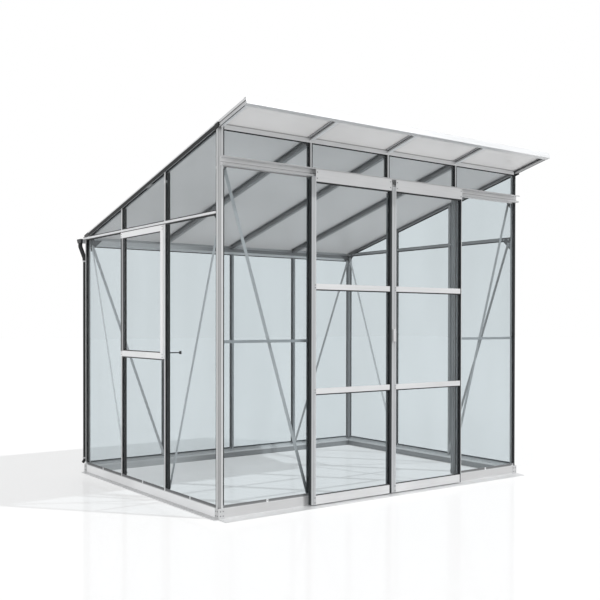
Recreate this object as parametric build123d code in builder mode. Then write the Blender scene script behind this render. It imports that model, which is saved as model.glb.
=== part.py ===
from build123d import *
import math
import os

os.makedirs("parts", exist_ok=True)

# Free-standing pent-roof glass greenhouse. Millimetres, +X along the tall front wall,
# +Y from the front wall to the low back wall, +Z up. The floor is Z 0.

# Overall sizes
wall_w = 3026.0          # outer width over the corner posts
wall_d = 2281.0          # outer depth over the corner posts
bay = 745.0              # pitch of the inner glazing bars
roof_z = 2662.0          # top of the roof at the front wall plane
roof_pitch = 14.2        # degrees, falling to the back
canopy = 345.0           # reach of the roof past the front wall, level
sheet_past = 42.0        # reach of the roof sheet past the back wall, level

# Base
sill_h = 76.0
sill_d = 45.0
sill_t = 3.0
foot_out = 30.0          # ground flange outside the wall
foot_t = 4.0
step_out = 92.0          # door threshold, reach from the wall
step_flat = 30.0         # level part of the threshold
step_hi = 8.0
step_lo = 2.5

# Glazing
fin_t = 2.5              # outer fin of every bar
fin_w = 12.0
glass_n = 5.0            # outer face of the glass, in from the wall plane
glass_t = 4.0
seat_n = 12.0            # inner glazing flange
seat_t = 2.5
bar_in = 39.0            # inner face of the wall bars
bar_t = 3.0
neck_t = 3.0
seat_w = 28.0
inner_w = 20.0
bite = 5.0               # glass edge inside a groove
lip_d = 10.0             # depth of the glazing lips
rebate = 12.0            # glazing rebate in the edge of a level bar
edge_gap = 4.0           # bar centre to glass edge
gasket_out = 1.7
gasket_in = 12.0

# Corner posts
cove_r = 20.0
cove_t = 2.5
corner_fin = 13.0
corner_w = 42.0
cove_in = 3.0            # glazing flange runs this far into the cove wall
part_gap = 0.5           # between pieces bolted together

# Front wall heights
beam_z = 2609.0          # underside of the top beam
beam_h = 36.0
track_z = 2366.0
track_h = 60.0
mid_z = 1180.0
mid_h = 20.0

# Side and back walls, below the roof's top at the back wall plane
rail_drop = 39.8         # to the underside of the gable rail
rail_h = 21.0
back_drop = 94.8         # to the underside of the back eave beam
window_drop = 44.8       # to the top of the side window
window_h = 990.0

# Roof
cap_t = 3.0
cap_w = 40.0
sheet_t = 10.0
shelf_t = 3.0
shelf_w = 48.0
rafter_h = 40.0
rafter_foot = 30.0
rafter_web = 4.0
chord_h = 18.0           # box under the inner rafters, inside the house
chord_t = 2.5
end_out = 4.0            # end rafter outside the gable plane
front_bar_h = 42.5
front_bar_d = 38.0

# Sliding doors
door_front = 43.0        # door face, out from the wall plane
door_back = 13.0
door_low = 15.0
door_gap = 6.0           # between the closed leaves
door_lap = 28.0          # leaf past the centre of the jamb bar
stile_w = 44.0
stile_t = 3.0
close_w = 15.0
door_rail_h = 40.0
door_foot_h = 64.0
plate_z = 2329.0
plate_h = 86.0
plate_t = 3.0
rail_low_z = 808.0
rail_high_z = 1559.0
roller_r = 12.0          # to the floor of the groove
roller_w = 11.0
flange_h = 4.0           # roller flanges beyond the groove

# Gutter and pipes
gutter_w = 86.0
gutter_h = 36.0
gutter_t = 2.0
gutter_slope = 16.0      # lean of the front wall
gutter_drop = 30.8       # below the roof's top at the back wall plane
pipe_r = 13.0
pipe_wall = 2.0
elbow_r = 18.0

# Derived places
pitch = math.radians(roof_pitch)
half_w = wall_w / 2
eave_z = roof_z - wall_d * math.tan(pitch)
rail_z = eave_z - rail_drop
back_z = eave_z - back_drop
window_top = eave_z - window_drop
gutter_top = eave_z - gutter_drop
gutter_near = 4.0
span_y = canopy + wall_d + gutter_near + gutter_w
y_front = canopy - span_y / 2
y_back = y_front + wall_d
x_left = -half_w
x_bars = [-bay, 0.0, bay]
y_bars = [y_front + (wall_d - bay) / 2, y_front + (wall_d + bay) / 2]
roof_front = -(canopy - front_bar_h * math.sin(pitch)) / math.cos(pitch)
roof_back = wall_d / math.cos(pitch)
header_top = track_z + track_h
beam_top = beam_z + beam_h
rail_top = rail_z + rail_h

roof = Plane(
    origin=(0, y_front, roof_z),
    x_dir=(1, 0, 0),
    z_dir=(0, math.sin(pitch), math.cos(pitch)),
)


def roof_height(y, drop=0.0):
    """Height of a plane that lies `drop` under the roof's top, at depth y."""
    return roof_z - (y - y_front) * math.tan(pitch) - drop / math.cos(pitch)


# Planes that look at each wall from outside: local X along the wall, local Y up,
# local -Z into the house.
front_face = Plane(origin=(0, y_front, 0), x_dir=(1, 0, 0), z_dir=(0, -1, 0))
back_face = Plane(origin=(0, y_back, 0), x_dir=(-1, 0, 0), z_dir=(0, 1, 0))
left_face = Plane(origin=(x_left, y_front, 0), x_dir=(0, -1, 0), z_dir=(-1, 0, 0))
right_face = Plane(origin=(half_w, y_front, 0), x_dir=(0, 1, 0), z_dir=(1, 0, 0))


def save(built, name):
    built.part.label = name
    export_step(built.part, f"parts/{name}.step")


def box_between(low, high, mode=Mode.ADD):
    """A box between two corners, in the axes of the active part."""
    size = [h - l for l, h in zip(low, high)]
    middle = [(h + l) / 2 for l, h in zip(low, high)]
    with Locations(Location(tuple(middle))):
        Box(*size, mode=mode)


def rect(u0, v0, u1, v1, mode=Mode.ADD):
    """A rectangle between two corners, in the active sketch."""
    with Locations(((u0 + u1) / 2, (v0 + v1) / 2)):
        Rectangle(u1 - u0, v1 - v0, mode=mode)


def bar_section():
    """Glazing bar: fin at local Y 0, the house on the +Y side."""
    rect(-fin_w / 2, 0, fin_w / 2, fin_t)
    rect(-neck_t / 2, fin_t, neck_t / 2, bar_in)
    rect(-seat_w / 2, seat_n, seat_w / 2, seat_n + seat_t)
    rect(-inner_w / 2, bar_in - bar_t, inner_w / 2, bar_in)


# Base rails: a hollow sill with a ground flange and a groove for the panes.
def sill_section():
    shelf = sill_h - lip_d
    rect(0, foot_t, fin_t, sill_h)
    rect(seat_n, shelf, seat_n + seat_t, sill_h)
    rect(0, shelf - sill_t, sill_d, shelf)
    rect(sill_d - sill_t, foot_t, sill_d, shelf)
    rect(0, 0, sill_d, foot_t)


# Section planes: local X points into the house, local Y up.
def along_front(x):
    return Plane(origin=(x, y_front, 0), x_dir=(0, 1, 0), z_dir=(1, 0, 0))


def along_back(x):
    return Plane(origin=(x, y_back, 0), x_dir=(0, -1, 0), z_dir=(-1, 0, 0))


def along_left(y):
    return Plane(origin=(x_left, y, 0), x_dir=(1, 0, 0), z_dir=(0, -1, 0))


def along_right(y):
    return Plane(origin=(half_w, y, 0), x_dir=(-1, 0, 0), z_dir=(0, 1, 0))


def mitre_plane(corner_x, corner_y, keep_x, keep_y):
    """Upright plane through a corner at 45 degrees, facing the side to keep."""
    return Plane(origin=(corner_x, corner_y, 0), z_dir=(keep_x, keep_y, 0))


with BuildPart() as base_front:
    with BuildSketch(along_front(-half_w)):
        sill_section()
    extrude(amount=wall_w)
    split(bisect_by=mitre_plane(-half_w, y_front, 1, -1), keep=Keep.TOP)
    split(bisect_by=mitre_plane(half_w, y_front, -1, -1), keep=Keep.TOP)
save(base_front, "base_front")

with BuildPart() as base_back:
    with BuildSketch(along_back(half_w)):
        sill_section()
        rect(-foot_out, 0, 0, foot_t)
    extrude(amount=wall_w)
    split(bisect_by=mitre_plane(half_w, y_back, -1, 1), keep=Keep.TOP)
    split(bisect_by=mitre_plane(-half_w, y_back, 1, 1), keep=Keep.TOP)
save(base_back, "base_back")

with BuildPart() as base_sides:
    with BuildSketch(along_left(y_back)):
        sill_section()
        rect(-foot_out, 0, 0, foot_t)
    extrude(amount=wall_d)
    split(bisect_by=mitre_plane(-half_w, y_front, -1, 1), keep=Keep.TOP)
    split(bisect_by=mitre_plane(-half_w, y_back, -1, -1), keep=Keep.TOP)
    mirror(about=Plane.YZ)
save(base_sides, "base_sides")

# Threshold under the doors: a shallow ramp along the whole front.
with BuildPart() as door_step:
    with BuildSketch(along_front(-half_w)):
        with BuildLine():
            Polyline(
                (0, 0),
                (0, step_hi),
                (-step_flat, step_hi),
                (-step_out, step_lo),
                (-step_out, 0),
                close=True,
            )
        make_face()
    extrude(amount=wall_w)
save(door_step, "door_step")

# Corner plates lap the outside of each sill corner.
plate_leg = 48.0
corner_plate_t = 2.0
plate_gap = 0.5
with BuildPart() as base_corner_plates:
    for y_corner, sense in ((y_front, 1), (y_back, -1)):
        low = (step_hi if sense > 0 else foot_t) + plate_gap
        with BuildSketch(Plane.XY.offset(low)):
            y_out = y_corner - sense * corner_plate_t
            y_in = y_corner + sense * plate_leg
            rect(-half_w - corner_plate_t, min(y_out, y_in), -half_w, max(y_out, y_in))
            rect(-half_w, min(y_out, y_corner), -half_w + plate_leg, max(y_out, y_corner))
        extrude(amount=sill_h - corner_plate_t - low)
    mirror(about=Plane.YZ)
save(base_corner_plates, "base_corner_plates")


# Corner posts: a cove in the corner, a fin and a glazing flange toward each wall.
def corner_section():
    Circle(cove_r + cove_t)
    Circle(cove_r, mode=Mode.SUBTRACT)
    rect(-2 * cove_r, -2 * cove_r, 0, 2 * cove_r, mode=Mode.SUBTRACT)
    rect(0, -2 * cove_r, 2 * cove_r, 0, mode=Mode.SUBTRACT)
    neck = cove_r + corner_fin / 2
    for swap in (False, True):
        for u0, v0, u1, v1 in (
            (cove_r, 0, cove_r + corner_fin, fin_t),
            (neck - neck_t / 2, fin_t, neck + neck_t / 2, seat_n),
            (cove_r - cove_in, seat_n, corner_w, seat_n + seat_t),
            (bar_in - bar_t, seat_n + seat_t, bar_in, bar_in),
        ):
            if swap:
                rect(v0, u0, v1, u1)
            else:
                rect(u0, v0, u1, v1)


def post_plane(x_sign, y_sign, z):
    """Section plane at a corner, local X and Y pointing into the house."""
    x_corner = -half_w if x_sign > 0 else half_w
    y_corner = y_front if y_sign > 0 else y_back
    normal = x_sign * y_sign
    return Plane(origin=(x_corner, y_corner, z), x_dir=(x_sign, 0, 0), z_dir=(0, 0, normal))


sheet_under = cap_t + sheet_t
post_top = roof_height(y_front + corner_w, sheet_under) - part_gap
with BuildPart() as corner_posts:
    for y_sign, top in ((1, post_top), (-1, rail_z)):
        with BuildSketch(post_plane(1, y_sign, sill_h)):
            corner_section()
        extrude(amount=(top - sill_h) * y_sign)
    mirror(about=Plane.YZ)
save(corner_posts, "corner_posts")


# Upright bars. Section planes have local +Y into the house.
with BuildSketch() as bar_shape:
    bar_section()


def bar_plane(wall, z):
    if wall == "front":
        return Plane(origin=(0, y_front, z), x_dir=(1, 0, 0), z_dir=(0, 0, 1))
    if wall == "back":
        return Plane(origin=(0, y_back, z), x_dir=(-1, 0, 0), z_dir=(0, 0, 1))
    return Plane(origin=(x_left, 0, z), x_dir=(0, -1, 0), z_dir=(0, 0, 1))


def uprights(wall, places, z, height):
    with BuildSketch(bar_plane(wall, z)) as bars:
        for place in places:
            with Locations((place, 0)):
                add(bar_shape.sketch)
    extrude(bars.sketch, amount=height)


with BuildPart() as front_mullions:
    uprights("front", (x_bars[0], x_bars[-1]), sill_h, track_z - sill_h)
    uprights("front", x_bars, header_top, beam_z - header_top)
save(front_mullions, "front_mullions")

with BuildPart() as back_mullions:
    uprights("back", x_bars, sill_h, back_z - sill_h)
save(back_mullions, "back_mullions")

# Under this plane the gable bars and panes stop.
seat_gap = 0.3
rafter_under = rafter_h + seat_gap


def cut_above_roof(drop):
    """Take away whatever lies above the plane `drop` under the roof's top."""
    with BuildSketch(Plane(origin=(-wall_w, 0, 0), x_dir=(0, 1, 0), z_dir=(1, 0, 0))) as sky:
        y_low = y_front - canopy - 500
        y_high = y_back + 500
        with BuildLine():
            Polyline(
                (y_low, roof_height(y_low, drop)),
                (y_high, roof_height(y_high, drop)),
                (y_high, roof_z + 900),
                (y_low, roof_z + 900),
                close=True,
            )
        make_face()
    extrude(sky.sketch, amount=2 * wall_w, mode=Mode.SUBTRACT)


with BuildPart() as gable_mullions:
    places = [-y for y in y_bars]
    uprights("left", places, sill_h, rail_z - sill_h)
    uprights("left", places, rail_top, roof_z - rail_top)
    cut_above_roof(rafter_under)
    mirror(about=Plane.YZ)
save(gable_mullions, "gable_mullions")


# Level bars between the posts. Local X points into the house.
def box_beam(bottom, height, depth, groove_below, groove_above):
    """Hollow level bar with glazing grooves in its lower or upper edge."""
    top = bottom + height
    low = bottom + (rebate if groove_below else 0)
    high = top - (rebate if groove_above else 0)
    rect(0, bottom, fin_t, top)
    rect(0, low, depth, low + bar_t)
    rect(0, high - bar_t, depth, high)
    rect(depth - bar_t, low, depth, high)
    if groove_below:
        rect(seat_n, bottom, seat_n + seat_t, low)
    if groove_above:
        rect(seat_n, high, seat_n + seat_t, top)


beam_len = wall_w - 2 * corner_w
beam_shelf = roof_height(y_front + corner_w, sheet_under) - part_gap
with BuildPart() as front_beam:
    with BuildSketch(along_front(-beam_len / 2)):
        box_beam(beam_z, beam_shelf - beam_z, bar_in, True, False)
        rect(0, beam_z, fin_t, beam_top)
    extrude(amount=beam_len)
save(front_beam, "front_beam")

with BuildPart() as door_header:
    with BuildSketch(along_front(-beam_len / 2)):
        box_beam(track_z, track_h, bar_in, True, True)
    extrude(amount=beam_len)
save(door_header, "door_header")

# Door track on the outside of the header: back web, runner with upstand, hood with lip.
track_t = 3.0
track_end = 12.0         # track shorter than the wall at each end
runner_in = 30.0
lip_h = 10.0
hood_out = 38.0
hood_lip_h = 9.0
hood_lip_t = 2.0
with BuildPart() as door_track:
    with BuildSketch(along_front(-half_w + track_end)):
        rect(-track_t, track_z, 0, header_top)
        rect(-runner_in, track_z, -track_t, track_z + track_t)
        rect(-runner_in, track_z + track_t, -runner_in + track_t, track_z + lip_h + track_t)
        rect(-hood_out, header_top - track_t, -track_t, header_top)
        rect(-hood_out, header_top - hood_lip_h, -hood_out + hood_lip_t, header_top - track_t)
    extrude(amount=wall_w - 2 * track_end)
save(door_track, "door_track")

with BuildPart() as gable_rails:
    with BuildSketch(along_left(y_back)):
        rect(0, rail_z, fin_t, rail_top)
        rect(0, rail_z + rebate - bar_t, bar_in, rail_z + rebate)
        rect(seat_n, rail_z, seat_n + seat_t, rail_top)
        rect(bar_in - bar_t, rail_z, bar_in, rail_top)
    extrude(amount=wall_d - corner_w)
    cut_above_roof(sheet_under + shelf_t + part_gap)
    mirror(about=Plane.YZ)
save(gable_rails, "gable_rails")

# Back eave beam: its outer plate reaches the roof sheet, its shelf carries the rafters.
plate_below = 1.5        # outer plate under the sheet
plate_top = roof_height(y_back, sheet_under) - plate_below
seat_z = roof_height(y_back - fin_t, rafter_h) - part_gap
with BuildPart() as back_beam:
    with BuildSketch(along_back(beam_len / 2)):
        rect(0, back_z, fin_t, plate_top)
        rect(fin_t, seat_z - bar_t, bar_in, seat_z)
        rect(fin_t, back_z + rebate, bar_in, back_z + rebate + bar_t)
        rect(bar_in - bar_t, back_z + rebate, bar_in, seat_z)
        rect(seat_n, back_z, seat_n + seat_t, back_z + rebate)
    extrude(amount=beam_len)
save(back_beam, "back_beam")

# Roof. Sections across the slope: local X along the wall, local Y square to the roof.
slope_dir = Vector(0, math.cos(pitch), -math.sin(pitch))


def across_roof(along):
    """Section plane across the slope, `along` down from the front wall, looking up it."""
    origin = Vector(0, y_front, roof_z) + slope_dir * along
    return Plane(origin=origin, x_dir=(1, 0, 0), z_dir=-slope_dir)


with BuildSketch() as rafter_shape:
    rect(-cap_w / 2, -cap_t, cap_w / 2, 0)
    rect(-rafter_web / 2, -rafter_h, rafter_web / 2, -cap_t)
    rect(-shelf_w / 2, -cap_t - sheet_t - shelf_t, shelf_w / 2, -cap_t - sheet_t)
    rect(-rafter_foot / 2, -rafter_h, rafter_foot / 2, -rafter_h + bar_t)

# End rafter: outer wall and lower lip outside the gable glass, inner web and foot inside.
shelf_low = sheet_under + shelf_t
end_cap_w = 24.0
end_shelf_w = 26.0
end_foot_w = 22.0
end_in = seat_n
with BuildSketch() as end_shape:
    rect(-end_out, -cap_t, end_cap_w, 0)
    rect(-end_out, -rafter_h, -end_out + bar_t, -cap_t)
    rect(-end_out, -rafter_h, fin_t, -rafter_h + bar_t)
    rect(-end_out, -shelf_low, end_shelf_w, -shelf_low + shelf_t)
    rect(end_in, -rafter_h, end_in + bar_t, -shelf_low)
    rect(end_in, -rafter_h, end_in + end_foot_w, -rafter_h + bar_t)

rafter_stop = roof_back - (fin_t + part_gap) / math.cos(pitch)
rafter_front = 4.0       # rafter ends behind the canopy edge

# The deeper part of an inner rafter runs between the inner faces of the two beams.
chord_low = rafter_h + chord_h
chord_start = (bar_in + 1 + chord_low * math.sin(pitch)) / math.cos(pitch)
chord_stop = (wall_d - bar_in - 1 + rafter_h * math.sin(pitch)) / math.cos(pitch)


def notch_for_walls():
    """Birdsmouths where a rafter crosses the front beam and lands on the gable rail."""
    near = y_front - seat_gap
    for far, top in ((y_front + fin_t, beam_top), (y_front + corner_w, beam_shelf)):
        box_between((-wall_w, near, mid_z), (wall_w, far + seat_gap, top + seat_gap), Mode.SUBTRACT)


with BuildSketch() as end_mirrored:
    add(end_shape.sketch)
    mirror(about=Plane.YZ, mode=Mode.REPLACE)

with BuildPart() as rafters:
    with BuildSketch(across_roof(rafter_stop)):
        for x in x_bars:
            with Locations((x, 0)):
                add(rafter_shape.sketch)
        with Locations((-half_w, 0)):
            add(end_shape.sketch)
        with Locations((half_w, 0)):
            add(end_mirrored.sketch)
    extrude(amount=rafter_stop - roof_front - rafter_front)
    with BuildSketch(across_roof(chord_stop)) as chords:
        for x in x_bars:
            with Locations((x, 0)):
                rect(-rafter_foot / 2, -chord_low, rafter_foot / 2, -rafter_h)
                rect(
                    -rafter_foot / 2 + chord_t,
                    -chord_low + chord_t,
                    rafter_foot / 2 - chord_t,
                    -rafter_h,
                    mode=Mode.SUBTRACT,
                )
    extrude(chords.sketch, amount=chord_stop - chord_start)
    notch_for_walls()
    for x0, x1 in ((-wall_w, -half_w + corner_w), (half_w - corner_w, wall_w)):
        box_between((x0, y_front + wall_d / 2, 0), (x1, y_back + 100, rail_top), Mode.SUBTRACT)
save(rafters, "rafters")

# Front edge of the canopy: a channel that takes the ends of the sheets and rafters.
roof_w = wall_w + 2 * end_out
edge_plane = Plane(
    origin=Vector(-roof_w / 2, y_front, roof_z) + slope_dir * roof_front,
    x_dir=slope_dir,
    z_dir=(1, 0, 0),
)
edge_up = 1 if edge_plane.y_dir.Z > 0 else -1
edge_t = 3.0
edge_rise = 4.0          # front plate above the roof's top
edge_cover = 26.0        # top flange over the ends of the sheets
edge_foot_t = 2.0
with BuildPart() as canopy_edge:
    with BuildSketch(edge_plane) as section:
        for x0, h0, x1, h1 in (
            (0, -front_bar_h, edge_t, edge_rise),
            (edge_t, part_gap, edge_cover, edge_rise - part_gap),
            (edge_t, -front_bar_h, front_bar_d, -front_bar_h + edge_foot_t),
        ):
            rect(x0, min(edge_up * h0, edge_up * h1), x1, max(edge_up * h0, edge_up * h1))
    extrude(amount=roof_w)
save(canopy_edge, "canopy_edge")

# Roof sheets between the rafters.
sheet_stop = (wall_d + sheet_past) / math.cos(pitch)
sheet_gap = 1.0          # sheet edge to the rafter web
sheet_front = 5.0        # sheet ends behind the canopy edge
lines = [-half_w] + x_bars + [half_w]
with BuildPart() as roof_sheets:
    with BuildSketch(across_roof(sheet_stop)):
        for a, b in zip(lines, lines[1:]):
            u0 = a + (end_out if a == lines[0] else rafter_web / 2 + sheet_gap)
            u1 = b - (end_out if b == lines[-1] else rafter_web / 2 + sheet_gap)
            rect(u0, -sheet_under, u1, -cap_t)
    extrude(amount=sheet_stop - roof_front - sheet_front)
save(roof_sheets, "roof_sheets")

# Black strips on the outside of the end rafters, with a block over each front post.
trim_t = 3.0
trim_stop = (roof_z - rail_top - front_bar_h) / math.sin(pitch)
trim_front = 6.0         # strip past the front wall
block_len = 46.0
block_t = 5.0
block_low = 8.0          # block under the strip
trim_x = -half_w - end_out
with BuildPart() as rafter_trims:
    with BuildSketch(across_roof(trim_stop)):
        rect(trim_x - trim_t, -rafter_h, trim_x, -cap_t)
    extrude(amount=trim_stop + trim_front)
    with BuildSketch(across_roof(block_len - trim_t)):
        rect(trim_x - trim_t - block_t, -rafter_h - block_low, trim_x - trim_t, -cap_t)
    extrude(amount=block_len)
    mirror(about=Plane.YZ)
save(rafter_trims, "rafter_trims")


# Panes and gaskets. Outlines are given on a wall seen from outside: local X along the
# wall, local Y up.
def slab(face, outline, near, far, mode=Mode.ADD):
    """A flat piece of a wall, from `near` to `far` in from the wall's outer face."""
    origin = face.origin - face.z_dir * near
    with BuildSketch(Plane(origin=origin, x_dir=face.x_dir, z_dir=face.z_dir)) as flat:
        with BuildLine():
            Polyline(*outline, close=True)
        make_face()
    extrude(flat.sketch, amount=near - far, mode=mode)


def oblong(u0, v0, u1, v1, grow=0.0):
    return [(u0 - grow, v0 - grow), (u1 + grow, v0 - grow), (u1 + grow, v1 + grow), (u0 - grow, v1 + grow)]


def pane(face, outline):
    slab(face, outline, glass_n, glass_n + glass_t)


def gasket(face, outer, outline, inner):
    slab(face, outer, fin_t, seat_n)
    slab(face, inner, fin_t - 1, seat_n + 1, Mode.SUBTRACT)
    slab(face, outline, glass_n, glass_n + glass_t, Mode.SUBTRACT)


post_bite = 2.0          # glass edge behind the fin of a corner post
post_edge = cove_r + corner_fin - post_bite
sill_glass = sill_h - bite
x_edges = [-half_w + post_edge] + x_bars + [half_w - post_edge]


def spans(edges):
    """Glass edges of each bay along a wall."""
    result = []
    for a, b in zip(edges, edges[1:]):
        u0 = a if a == edges[0] else a + edge_gap
        u1 = b if b == edges[-1] else b - edge_gap
        result.append((u0, u1))
    return result


front_spans = spans(x_edges)
side_edges = [post_edge] + [y - y_front for y in y_bars] + [wall_d - post_edge]
side_spans = spans(side_edges)

front_fixed = [(u0, sill_glass, u1, track_z + bite) for u0, u1 in (front_spans[0], front_spans[-1])]
front_upper = [(u0, header_top - bite, u1, beam_z + bite) for u0, u1 in front_spans]
back_panes = [(u0, sill_glass, u1, back_z + bite) for u0, u1 in front_spans]

# On the right wall local X runs from the front wall back, on the left wall the other way.
window_low = window_top - window_h
sash_bar = 44.0
sub_rail_z = window_low - edge_gap
sub_rail_h = 30.0
right_panes = [(u0, sill_glass, u1, rail_z + bite) for u0, u1 in side_spans]
left_panes = [(-u1, sill_glass, -u0, rail_z + bite) for u0, u1 in side_spans]
middle = left_panes[1]
left_panes[1] = (middle[0], sill_glass, middle[2], sub_rail_z + bite)


def gable_outline(u0, u1, inset):
    """Pane under the rafter, over distances u0 to u1 from the front wall."""
    low = rail_top - bite + inset
    a = u0 + inset
    b = u1 - inset
    drop = rafter_under - bite + inset
    high_a = roof_height(y_front + a, drop)
    high_b = roof_height(y_front + b, drop)
    if high_b > low + 2:
        return [(a, low), (b, low), (b, high_b), (a, high_a)]
    tip = (roof_height(y_front, drop) - low) / math.tan(pitch)
    return [(a, low), (tip, low), (a, high_a)]


def turned(outline):
    """The same outline for the left wall, whose local X runs the other way."""
    return [(-u, v) for u, v in reversed(outline)]


def save_panes(face, boxes, name):
    with BuildPart() as built:
        for u0, v0, u1, v1 in boxes:
            pane(face, oblong(u0, v0, u1, v1))
    save(built, name)


save_panes(front_face, front_fixed, "glass_front")
save_panes(front_face, front_upper, "glass_transom")
back_boxes = [(-u1, v0, -u0, v1) for u0, v0, u1, v1 in back_panes]
save_panes(back_face, back_boxes, "glass_back")
with BuildPart() as glass_sides:
    for u0, v0, u1, v1 in left_panes:
        pane(left_face, oblong(u0, v0, u1, v1))
    for u0, v0, u1, v1 in right_panes:
        pane(right_face, oblong(u0, v0, u1, v1))
save(glass_sides, "glass_sides")

with BuildPart() as glass_gables:
    for u0, u1 in side_spans:
        pane(right_face, gable_outline(u0, u1, 0))
    mirror(about=Plane.YZ)
save(glass_gables, "glass_gables")


def add_gaskets(face, boxes):
    for u0, v0, u1, v1 in boxes:
        with BuildPart(mode=Mode.PRIVATE) as one:
            outline = oblong(u0, v0, u1, v1)
            gasket(face, oblong(u0, v0, u1, v1, gasket_out), outline, oblong(u0, v0, u1, v1, -gasket_in))
        rings.append(one.part)


rings = []
add_gaskets(front_face, front_fixed + front_upper)
add_gaskets(back_face, back_boxes)
add_gaskets(left_face, left_panes)
add_gaskets(right_face, right_panes)
for u0, u1 in side_spans:
    with BuildPart(mode=Mode.PRIVATE) as one:
        outer = gable_outline(u0, u1, -gasket_out)
        gasket(right_face, outer, gable_outline(u0, u1, 0), gable_outline(u0, u1, gasket_in))
    rings.append(one.part)
    rings.append(mirror(one.part, about=Plane.YZ, mode=Mode.PRIVATE))
with BuildPart() as gaskets:
    for ring in rings:
        add(ring)
save(gaskets, "gaskets")

# Inner rails across the fixed bays beside the doorway, and the rail under the window.
with BuildPart() as mid_rails:
    x_in = -half_w + corner_w
    x_end = x_bars[0] - seat_w / 2
    n0 = seat_n + seat_t
    with BuildSketch(along_front(x_in)):
        rect(n0, mid_z, n0 + mid_h, mid_z + mid_h)
        rect(n0 + bar_t, mid_z + bar_t, n0 + mid_h - bar_t, mid_z + mid_h - bar_t, mode=Mode.SUBTRACT)
    extrude(amount=x_end - x_in)
    mirror(about=Plane.YZ)
    with BuildSketch(along_left(y_bars[1] - seat_w / 2)):
        box_beam(sub_rail_z, sub_rail_h, bar_in, True, False)
    extrude(amount=bay - seat_w)
save(mid_rails, "mid_rails")

# Side window: a top-hung sash outside the bars.
sash_edge = edge_gap - fin_w / 2 - 1
u_sash0 = -side_spans[1][1] - sash_edge
u_sash1 = -side_spans[1][0] + sash_edge
sash_out = 12.3
sash_t = 12.0
sash_groove = 9.0
sash_lip = 4.0
with BuildPart() as window_sash:
    slab(left_face, oblong(u_sash0, window_low, u_sash1, window_top), -sash_out, -sash_out + sash_t)
    inner = oblong(u_sash0, window_low, u_sash1, window_top, -sash_bar)
    slab(left_face, inner, -sash_out - 1, 0, Mode.SUBTRACT)
    groove = oblong(u_sash0, window_low, u_sash1, window_top, -sash_bar + sash_groove)
    slab(left_face, groove, -sash_out + sash_lip, -sash_out + sash_lip + glass_t + 1, Mode.SUBTRACT)
save(window_sash, "window_sash")

with BuildPart() as window_glass:
    outline = oblong(u_sash0, window_low, u_sash1, window_top, -sash_bar + sash_groove - 1)
    near = -sash_out + sash_lip + part_gap
    slab(left_face, outline, near, near + glass_t)
save(window_glass, "window_glass")

# Sliding doors. Each leaf laps its jamb bar; both leaves carry the wide stile on the left.
leaf_out = bay + door_lap
stile_top = track_z - 6
side_t = 3.0
return_w = 18.0          # inner return of a stile
recess_in = 17.0         # shallow channel down the face of the wide stile
recess_w = 11.0
recess_t = 1.2
rail_web = 16.0          # web that carries the panes, up from the lower edge of a rail
foot_web = 38.0
web_t = 3.0
pane_gap = 0.3           # pane edge to the web below or above it
glass_out = 30.0
glass_side = 5.0         # pane edge inside the wide stile
glass_down = 4.0         # top pane below the top of the stiles
plate_lap = 6.0


def plan(u0, out0, u1, out1, mode=Mode.ADD):
    """A rectangle of a level section, between two distances out from the wall plane."""
    rect(u0, y_front - out1, u1, y_front - out0, mode)


def stile_section(u0, u1, width):
    """Channel between u0 and u1: face, side on the left, return at the back."""
    plan(u0, door_front - stile_t, u1, door_front)
    plan(u0, door_back, u0 + side_t, door_front - stile_t)
    plan(u0 + side_t, door_back, u0 + width, door_back + side_t)


def leaf_slab(u0, v0, u1, v1, out0, out1):
    """A flat piece of a leaf between two distances out from the wall plane."""
    slab(front_face, oblong(u0, v0, u1, v1), -out1, -out0)


def leaf_rail(u0, u1, bottom, height, web):
    leaf_slab(u0, bottom, u1, bottom + height, door_front - stile_t, door_front)
    leaf_slab(u0, bottom + web, u1, bottom + web + web_t, door_back + 4, door_front - stile_t)


# Hanging rollers: a grooved wheel over the upstand of the runner, on a hexagonal pin in its hanger.
rail_out = runner_in - track_t / 2
run_gap = 0.4
wheel_z = track_z + track_t + lip_h + run_gap + roller_r
groove_half = 2.1        # 0.6 clear of the upstand on each side
pin_r = 5.0             # over the corners of the pin
hanger_w = 44.0
hanger_t = 4.0
hanger_in = 130.0        # roller from the edge of the leaf
hanger_low = 8.0
hanger_top = 12.0        # below the top of the cover plate


def roller(x):
    half = roller_w / 2
    rim = roller_r + flange_h
    centre = (x, y_front - rail_out, wheel_z)
    with BuildSketch(Plane(origin=centre, x_dir=(0, 1, 0), z_dir=(1, 0, 0))) as profile:
        with BuildLine():
            Polyline(
                (-half, 0),
                (half, 0),
                (half, rim),
                (groove_half, roller_r),
                (-groove_half, roller_r),
                (-half, rim),
                close=True,
            )
        make_face()
    revolve(profile.sketch, axis=Axis(centre, (0, 1, 0)))
    pin_from = y_front - door_front + hanger_t
    with BuildSketch(Plane(origin=(x, pin_from, wheel_z), z_dir=(0, 1, 0))) as end:
        RegularPolygon(pin_r, 6)
    extrude(end.sketch, amount=door_front - hanger_t - rail_out - half)
    low = wheel_z - hanger_low
    high = plate_z + plate_h - hanger_top
    leaf_slab(x - hanger_w / 2, low, x + hanger_w / 2, high, door_front - hanger_t, door_front)


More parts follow.
